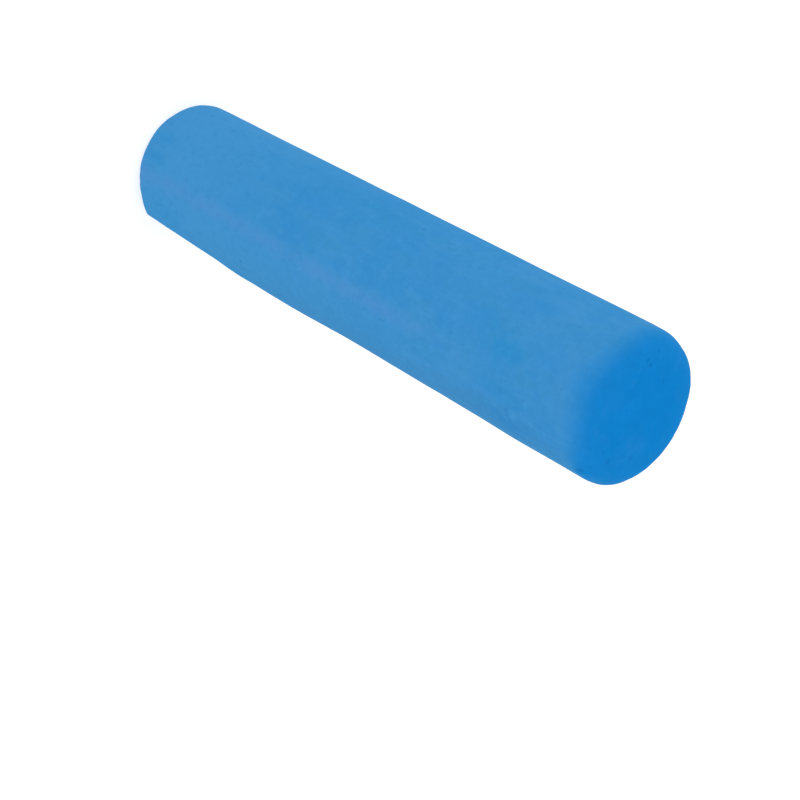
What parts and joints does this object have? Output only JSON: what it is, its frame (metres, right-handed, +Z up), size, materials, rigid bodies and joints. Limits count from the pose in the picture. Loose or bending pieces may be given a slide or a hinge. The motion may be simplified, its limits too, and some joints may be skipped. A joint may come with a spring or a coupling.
{
  "type": "chalk stick",
  "caption": "Thick tapered round stick of cast chalk for writing and drawing, with flat ends, rounded edges, a small worn flat and a worn corner.",
  "frame": {"origin": "centre of the narrow end face, on the surface that the stick stands on", "axes": "+Z up the axis of the stick to the wide end, +X out of the worn flat"},
  "size_m": [0.0234, 0.0234, 0.1],
  "materials": {
    "chalk": "matte, powdery"
  },
  "bodies": {
    "root": {"chalk_stick": "chalk"}
  },
  "joints": []
}
